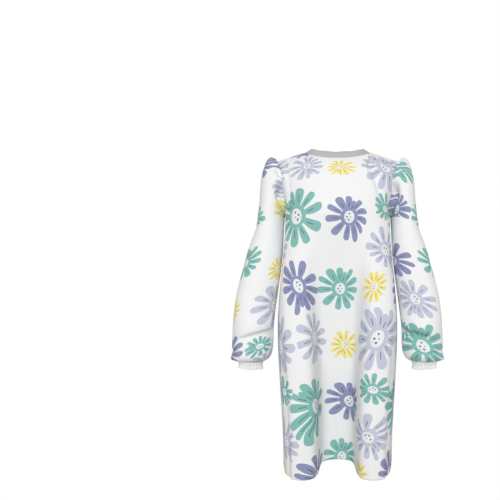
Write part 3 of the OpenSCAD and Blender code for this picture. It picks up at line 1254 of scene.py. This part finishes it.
# The lower sleeve, with its heights as shares of its length, down to the cuff.
LOWER_RINGS = ((-0.027, 0, 0.060, 0, -0.006, 0.057), (-0.024, 0.16, 0.076, 0.13, -0.018, 0.057),
               (-0.019, 0.34, 0.091, 0.31, -0.030, 0.057), (-0.010, 0.55, 0.109, 0.51, -0.042, 0.057),
               (-0.003, 0.75, 0.119, 0.71, -0.050, 0.057), (-0.002, 0.92, 0.123, 0.92, -0.054, 0.057),
               (0.010, 0.98, 0.124, 0.985, -0.056, 0.050))


@dataclass
class Sleeve:
    """One sleeve: the puffed cap, the lower sleeve, the cuff and the seams inside.

    Attributes:
        shape: the body's shape, which the armhole belongs to.
        name: left or right.
        face: -1 for the left sleeve and 1 for the right one.
        prints: where the daisies fall.
        cuff_z: height of the top of the cuff.
        cuff_half: half the cuff's width.
        cuff_x, cuff_y: the cuff's middle, with x from the shoulder tip.
        cuff_depth: the cuff's depth as a share of its width.
        tilt: how far the cuff's inner side hangs lower, in radians.
        casing_length: length of the channel round the elastic.
        frill_end: how far the frill's edge is below the top of the cuff.
        waist: how far the elastic draws the cuff in on each side.
        dimples: the cap's dimples, each as the angle round the cap, how it leans on the way down,
            the shares of the way down where it starts and that it covers, its half width and depth.
    """

    shape: BodyShape
    name: str
    face: int
    prints: SleevePrint
    cuff_z: float
    cuff_half: float = 0.035
    cuff_x: float = 0.066
    cuff_y: float = -0.056
    cuff_depth: float = 0.84
    tilt: float = -0.07
    casing_length: float = 0.012
    frill_end: float = 0.022
    waist: float = 0.002
    dimples: Sequence[tuple[float, ...]] = (
        (-1.90, -0.5, 0.00, 0.60, 0.26, 0.022), (-1.30, 0.2, 0.02, 0.26, 0.15, 0.014),
        (-0.70, 0.4, 0.00, 0.20, 0.12, 0.007), (1.85, 0.4, 0.00, 0.50, 0.20, 0.012),
        (1.15, -0.2, 0.00, 0.30, 0.15, 0.009), (0.55, -0.3, 0.00, 0.20, 0.12, 0.006))

    def ring_points(self, rings: Grid, angle: Grid, bow: Grid) -> Grid:
        """Place points on rings of the sleeve.

        Args:
            rings: inner x, inner z, outer x, outer z, y and half depth at each point.
            angle: the angle round the ring, from 0 at the outer side by the back.
            bow: how far the front and back lie inside a straight line.

        Returns:
            The points.
        """
        share = (1 - np.cos(angle)) / 2
        x = mix(rings[..., 2], rings[..., 0], share) - bow * np.sin(angle) ** 2
        z = mix(rings[..., 3], rings[..., 1], share)
        y = rings[..., 4] + rings[..., 5] * np.sin(angle)
        x = (x + self.shape.tip_half) * self.face
        return np.stack([x, y, z + self.shape.tip_z], -1)

    def lay(self, columns: int, rows: int) -> tuple[Grid, Grid]:
        """Give the angle and the share of the way down at each point of a tube, rows upwards.

        Args:
            columns: points round the tube.
            rows: points along it.

        Returns:
            The angles and the shares, which fall from 1 to 0.
        """
        round_way = np.linspace(0, 2 * np.pi, columns, endpoint=False) + np.pi
        return np.meshgrid(round_way * self.face, np.linspace(1, 0, rows))

    def cap(self) -> tuple[Grid, Grid]:
        """Lay out the puffed cap.

        Returns:
            Its points, plain and then with the dimples of its gathers.
        """
        angle, t = self.lay(240, 110)
        points = self.ring_points(curve(CAP_RINGS, t), angle, CAP_BOW * (1 - t) ** 2)
        turn = np.angle(np.exp(1j * angle))
        away = 0.5 + 0.5 * np.cos(turn)
        push = 0.0028 * np.sin(24 * turn + 2.2 * np.sin(3 * turn)) * np.exp(-t / 0.12) * (0.3 + 0.7 * away)
        for middle, lean, start, reach, spread, depth in self.dimples:
            along = smooth((t - start) / 0.06 + 0.5) * smooth((start + reach - t) / reach)
            push = push - depth * bump(turn, middle + lean * t, spread) * along
            push = push + 0.35 * depth * bump(turn, middle + lean * t + 1.9 * spread, spread) * along
        push = push * smooth(t / 0.07) * smooth((1 - t) / 0.05)
        return points, points + outward(points, True) * push[..., None]

    def lower_rings(self) -> Grid:
        """Give the lower sleeve's rings with their true heights, and the cuff's top as the last."""
        inner_z, outer_z = CAP_RINGS[-1][1], CAP_RINGS[-1][3]
        end = self.cuff_z - self.shape.tip_z
        rows = [(r[0], mix(inner_z, end, r[1]), r[2], mix(outer_z, end, r[3]), r[4], r[5])
                for r in LOWER_RINGS]
        return np.array([*rows, self.cuff_ring(0.0, self.cuff_half)])

    def cuff_ring(self, drop: float, half: float) -> tuple[float, ...]:
        """Give one ring of the cuff.

        Args:
            drop: how far it is below the top of the cuff.
            half: its half width.

        Returns:
            The ring, in the same form as the others.
        """
        z = self.cuff_z - self.shape.tip_z - drop
        flat, rise = half * math.cos(self.tilt), half * math.sin(self.tilt)
        return (self.cuff_x - flat, z + rise, self.cuff_x + flat, z - rise, self.cuff_y,
                half * self.cuff_depth)

    def lower(self) -> tuple[Grid, Grid]:
        """Lay out the lower sleeve.

        Returns:
            Its points, plain and then with its elbow folds and gathers.
        """
        angle, t = self.lay(176, 230)
        points = self.ring_points(curve(self.lower_rings(), t), angle, 0 * t)
        normal = outward(points, True)
        turn = np.angle(np.exp(1j * angle))
        front = np.maximum(0, -np.sin(turn)) ** 0.5
        inner = (1 - np.cos(turn)) / 2
        elbow = front * smooth((inner - 0.08) / 0.5)
        past = t - (0.660 - 0.065 * inner)
        push = 0.007 * bump(past, -0.035, 0.035) * elbow
        push = push - 0.016 * smooth(past / 0.016 + 0.5) * smooth(1 - past / 0.085) * elbow
        past = t - (0.700 + 0.04 * inner)
        faint = front * smooth((0.7 - inner) / 0.3)
        push = push - 0.005 * smooth(past / 0.012 + 0.5) * smooth(1 - past / 0.05) * faint
        gather = np.sin(19 * turn + 1.7 * np.sin(2 * turn)) * smooth((t - 0.88) / 0.1)
        push = push + 0.0016 * gather
        drift = np.sin(2 * turn + 7 * t) * 0.0025 * smooth(t / 0.2) * smooth((0.95 - t) / 0.2)
        return points, points + normal * (push + drift)[..., None]

    def cuff(self, top: float, bottom: float, half_top: float, half_bottom: float, ripple: float,
             hem: float) -> Grid:
        """Lay out a gathered band of the cuff.

        Args:
            top, bottom: how far its edges are below the top of the cuff.
            half_top, half_bottom: its half widths there.
            ripple: how deep its gathers are.
            hem: how far its lower edge follows the gathers, from 0 to 1.

        Returns:
            The points.
        """
        rows, columns = 14, 288
        angle, t = self.lay(columns, rows)
        rings = np.array([self.cuff_ring(mix(top, bottom, share), mix(half_top, half_bottom, share))
                          for share in np.linspace(1, 0, rows)])
        points = self.ring_points(np.repeat(rings[:, None], columns, 1), angle, 0 * t)
        normal = outward(points, True)
        wave = np.sin(24 * angle + 1.1 * np.sin(5 * angle))
        rib = np.abs(np.sin(12 * angle + 0.55 * np.sin(5 * angle)))
        push = (rib - 0.6) * ripple + np.sin(np.pi * t) * 0.0012 + wave * 0.0002
        points = points + normal * push[..., None]
        points[..., 2] -= 0.0022 * (rib - 0.5) * t * hem
        return points

    def seams(self, lower: Grid, body: str) -> None:
        """Build the seam allowances and the elastic inside the sleeve.

        Args:
            lower: the lower sleeve's points.
            body: the body that the sleeve rides on.
        """
        white = overlock()
        # Columns on each side of the seam's line, and rows left free at the cuff and at the cap.
        beside, above_cuff, below_cap = 4, 20, 16
        inside = np.roll(lower - outward(lower, True) * LAYER, beside, 1)
        inner = inside[above_cuff:-below_cap, :2 * beside + 1]
        strip(f"{self.name}_underarm_allowance", inner, white, body,
              f"{self.name}_underarm_seam")
        angle, _ = self.lay(120, 3)
        rings = np.array([curve(self.lower_rings(), np.array(0.015)), curve(CAP_RINGS, np.array(1.0)),
                          curve(CAP_RINGS, np.array(0.97))])
        cross = self.ring_points(np.repeat(rings[:, None], 120, 1), angle, 0 * angle)
        cross = cross - outward(cross, True) * 2 * LAYER
        strip(f"{self.name}_cross_allowance", cross, white, body,
              f"{self.name}_cross_seam", ring=True)
        # The first colour is painted shade between the threads.
        ivory = Webbing("ivory_elastic", screen(214, 208, 190), screen(240, 236, 222), 0.0014).make()
        half = self.cuff_half - self.waist - 0.004
        rings = np.array([self.cuff_ring(drop, half) for drop in (0.010, 0.006, 0.002)])
        elastic = self.ring_points(np.repeat(rings[:, None], 120, 1), angle, 0 * angle)
        strip(f"{self.name}_elastic_band", elastic, ivory, body,
              f"{self.name}_cuff_elastic", ring=True)

    def pattern(self, points: Grid, tall: float) -> Grid:
        """Flatten a tube: across from the middle of its front, and up from its top.

        Args:
            points: the tube's points.
            tall: length of cloth for each length of tube, because it is gathered, or 0 for a cap,
                whose cloth hangs true and is measured by height alone.

        Returns:
            The pattern coordinates.
        """
        closed = np.concatenate([points, points[:, :1]], 1)
        x = run_length(closed, 1)
        middle = int(np.argmin(points[0, :, 1]))
        x = x - x[:, middle][:, None]
        y = run_length(closed, 0)
        y = (y - y[-1]) * tall if tall else closed[..., 2] - self.shape.tip_z
        return np.stack([x, y], -1)

    def part(self, name: str, points: Union[Grid, tuple[Grid, Grid]], material: bpy.types.Material,
             node: str, flat: tuple[float, float], body: str, tall: float = 1.0,
             area: Optional[float] = None) -> bpy.types.Object:
        """Build one piece of the sleeve.

        Args:
            name: the piece's name without its side.
            points: its outer side, after the unfolded one that its pattern follows if they differ.
            material: its finish.
            node: the plain solid that it replaces, without its side.
            flat: the width and length that it was cut to; not used.
            body: the body that it rides on, or nothing for a piece between two bodies, which is then left
                unattached.
            tall: length of cloth for each length of tube, or 0 for the cap.
            area: its flat area, where it isn't a rectangle; not used.

        Returns:
            The piece.
        """
        plain, points = points if isinstance(points, tuple) else (points, points)
        pattern = self.pattern(plain, tall)
        piece = ClothPiece(f"{self.name}_{name}", points, pattern, True).make(material)
        return hand_in(piece, body, f"{self.name}_{node}")

    def make(self) -> None:
        """Build and dress the sleeve."""
        body = f"{self.name}_sleeve"
        cap_cloth = PrintedCotton(f"{self.name}_cap_cotton", self.prints.cap, (0.50, 0.40)).make()
        sleeve_cloth = PrintedCotton(f"{self.name}_sleeve_cotton", self.prints.lower, (0.60, 0.90)).make()
        cap = self.part("cap_cloth", self.cap(), cap_cloth, "sleeve_cap", (0.46, 0.26), "",
                        tall=0.0, area=0.060)
        tip = (self.shape.tip_half * self.face, 0.0, self.shape.tip_z)
        # An offset from the shoulder tip, square to the armhole's edge; the sums below are worked out and
        # not used.
        across, down = 0.0074 * self.face, -0.0014
        tip[0] + across
        tip[2] + down
        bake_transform(cap)
        lower = self.lower()
        self.part("lower_cloth", lower, sleeve_cloth, "lower_sleeve", (0.42, 0.56), body,
                  tall=1.33, area=0.185)
        drawn_in = self.cuff_half - self.waist
        casing = self.cuff(0.0, self.casing_length, self.cuff_half, drawn_in, 0.0034, 0.0)
        self.part("casing_cloth", casing, sleeve_cloth, "cuff_casing", (0.30, 0.013), body)
        frill = self.cuff(self.casing_length - 0.0002, self.frill_end, drawn_in, self.cuff_half, 0.0040, 1.0)
        self.part("frill_cloth", frill, sleeve_cloth, "cuff_frill", (0.34, 0.011), body)
        self.seams(lower[1], body)


LEFT_PRINT = SleevePrint(
    cap=(Daisy(-0.090, -0.035, 0.055, Ink.SLATE, 30), Daisy(-0.055, -0.195, 0.050, Ink.SEA, 60),
         Daisy(0.062, -0.177, 0.044, Ink.YELLOW, 0, 1.0, 0.8), Daisy(0.045, -0.085, 0.045, Ink.LILAC, 90),
         Daisy(-0.200, -0.050, 0.050, Ink.SEA, 120), Daisy(-0.200, -0.168, 0.055, Ink.SLATE, 40)),
    lower=(Daisy(-0.052, -0.165, 0.068, Ink.SEA), Daisy(0.072, -0.222, 0.046, Ink.YELLOW, 180, 1.1, 0.8),
           Daisy(-0.070, -0.358, 0.048, Ink.YELLOW, 0, 1.0, 0.8), Daisy(0.088, -0.370, 0.088, Ink.LILAC, 0),
           Daisy(-0.078, -0.525, 0.075, Ink.SLATE, 0), Daisy(0.035, -0.520, 0.044, Ink.SEA, 90),
           Daisy(0.060, -0.590, 0.050, Ink.LILAC, 240), Daisy(-0.250, -0.185, 0.070, Ink.SLATE, 200),
           Daisy(-0.195, -0.335, 0.062, Ink.LILAC, 150), Daisy(-0.195, -0.512, 0.080, Ink.SEA, 60)))
RIGHT_PRINT = SleevePrint(
    cap=(Daisy(0.025, -0.040, 0.055, Ink.SEA, 30), Daisy(-0.042, -0.168, 0.055, Ink.SLATE, 60),
         Daisy(0.060, -0.195, 0.050, Ink.SEA, 0), Daisy(0.190, -0.080, 0.050, Ink.LILAC, 0),
         Daisy(0.200, -0.177, 0.044, Ink.YELLOW, 0, 1.0, 0.8)),
    lower=(Daisy(-0.082, -0.185, 0.076, Ink.SLATE, 200), Daisy(0.070, -0.160, 0.066, Ink.SEA, 0),
           Daisy(-0.024, -0.335, 0.066, Ink.LILAC, 190, 1.15), Daisy(0.125, -0.310, 0.046, Ink.YELLOW, 20),
           Daisy(-0.090, -0.470, 0.050, Ink.SEA, 90), Daisy(-0.012, -0.512, 0.088, Ink.SEA, 20),
           Daisy(0.215, -0.222, 0.046, Ink.YELLOW, 180), Daisy(0.235, -0.370, 0.080, Ink.LILAC, 0),
           Daisy(0.165, -0.520, 0.050, Ink.SEA, 90)))


# ---------------------------------------------------------------- the studio


@dataclass
class Studio:
    """The pale floor, the light and the camera.

    Attributes:
        hem_z: height of the gown's lowest point.
        floor_gap: from there down to the floor.
        middle_z: height of the camera, level with the middle of the gown.
        distance: from the camera to the gown's middle plane, in metres.
        lens: focal length of the camera, in millimetres.
        shift: how far the picture is moved across and up, as shares of its width.
        lamp_size: width and height of the lamp.
        lamp_place: the lamp's distance in front and its height above the camera.
        lamp_slope: how far the lamp is turned down, in degrees.
        lamp_watts: the lamp's power.
        ambient: strength of the surrounding white as a light.
    """

    hem_z: float
    floor_gap: float = 0.25
    middle_z: float = -0.517
    distance: float = 1.0
    lens: float = 22.5
    shift: tuple[float, float] = (-0.175, 0.128)
    lamp_size: tuple[float, float] = (2.4, 2.0)
    lamp_place: tuple[float, float] = (3.0, 0.9)
    lamp_slope: float = 16.0
    lamp_watts: float = 66.0
    ambient: float = 0.52

    def floor(self) -> None:
        """Lay a wide pale floor."""
        bpy.ops.object.select_all(action="DESELECT")
        floor_z = self.hem_z - self.floor_gap
        bpy.ops.mesh.primitive_plane_add(size=40.0, location=(0.0, 0.0, floor_z))
        plane = bpy.context.active_object
        plane.name = "studio_floor"
        dye = Dye("studio_floor")
        dye.finish((0.6, 0.6, 0.6, 1.0), 1.0)
        seen = dye.node("ShaderNodeLightPath").outputs["Is Camera Ray"]
        glow = dye.node("ShaderNodeEmission", None, {"Strength": 1.0}).outputs[0]
        plain = dye.shader.outputs[0]
        mixed = dye.node("ShaderNodeMixShader", None, {0: seen, 1: plain, 2: glow}).outputs[0]
        dye.tree.links.new(mixed, dye.tree.nodes["Material Output"].inputs[0])
        plane.data.materials.append(dye.material)

    def world(self) -> None:
        """Surround the scene with an even white, softer as a light than it looks."""
        world = bpy.data.worlds.new("studio_white")
        world.use_nodes = True
        bpy.context.scene.world = world
        nodes, links = world.node_tree.nodes, world.node_tree.links
        seen = nodes.new("ShaderNodeLightPath")
        strength = nodes.new("ShaderNodeMapRange")
        strength.inputs["To Min"].default_value = self.ambient
        strength.inputs["To Max"].default_value = 1.0
        links.new(seen.outputs["Is Camera Ray"], strength.inputs["Value"])
        links.new(strength.outputs[0], nodes["Background"].inputs["Strength"])
        nodes["Background"].inputs["Color"].default_value = (1.0, 1.0, 1.0, 1.0)

    def lamp(self) -> None:
        """Hang one large soft lamp above the camera."""
        light = bpy.data.lights.new("front_softbox", "AREA")
        light.shape = "RECTANGLE"
        light.size, light.size_y = self.lamp_size
        light.energy = self.lamp_watts
        lamp = bpy.data.objects.new("front_softbox", light)
        ahead, above = self.lamp_place
        lamp.location = (0.0, -ahead, self.middle_z + above)
        lamp.rotation_euler = (math.radians(90 - self.lamp_slope), 0.0, 0.0)
        bpy.context.scene.collection.objects.link(lamp)

    def camera(self) -> None:
        """Set up a level camera close in front of the gown."""
        lens = bpy.data.cameras.new("camera")
        lens.sensor_width = 36.0
        lens.lens = self.lens
        lens.shift_x, lens.shift_y = self.shift
        camera = bpy.data.objects.new("camera", lens)
        camera.location = (0.0, -self.distance, self.middle_z)
        camera.rotation_euler = (math.radians(90), 0.0, 0.0)
        bpy.context.scene.collection.objects.link(camera)
        bpy.context.scene.camera = camera

    def make(self) -> None:
        """Set the whole studio up."""
        self.floor()
        self.world()
        self.lamp()
        self.camera()
        bpy.context.scene.view_settings.view_transform = "Standard"


def main() -> None:
    """Build the gown piece by piece and put it in the studio."""
    logging.basicConfig(level=logging.INFO, format="%(message)s")
    shape = BodyShape.from_frame()
    Studio(hem_z=CAD_BOX[0][2]).make()
    BodyPanels(shape).make()
    BodySeams(shape).make()
    Neckband(shape).make()
    cuff_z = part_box("left_cuff_casing")[1].z
    Sleeve(shape, "left", -1, LEFT_PRINT, cuff_z).make()
    Sleeve(shape, "right", 1, RIGHT_PRINT, cuff_z).make()


if __name__ == "__main__":
    main()
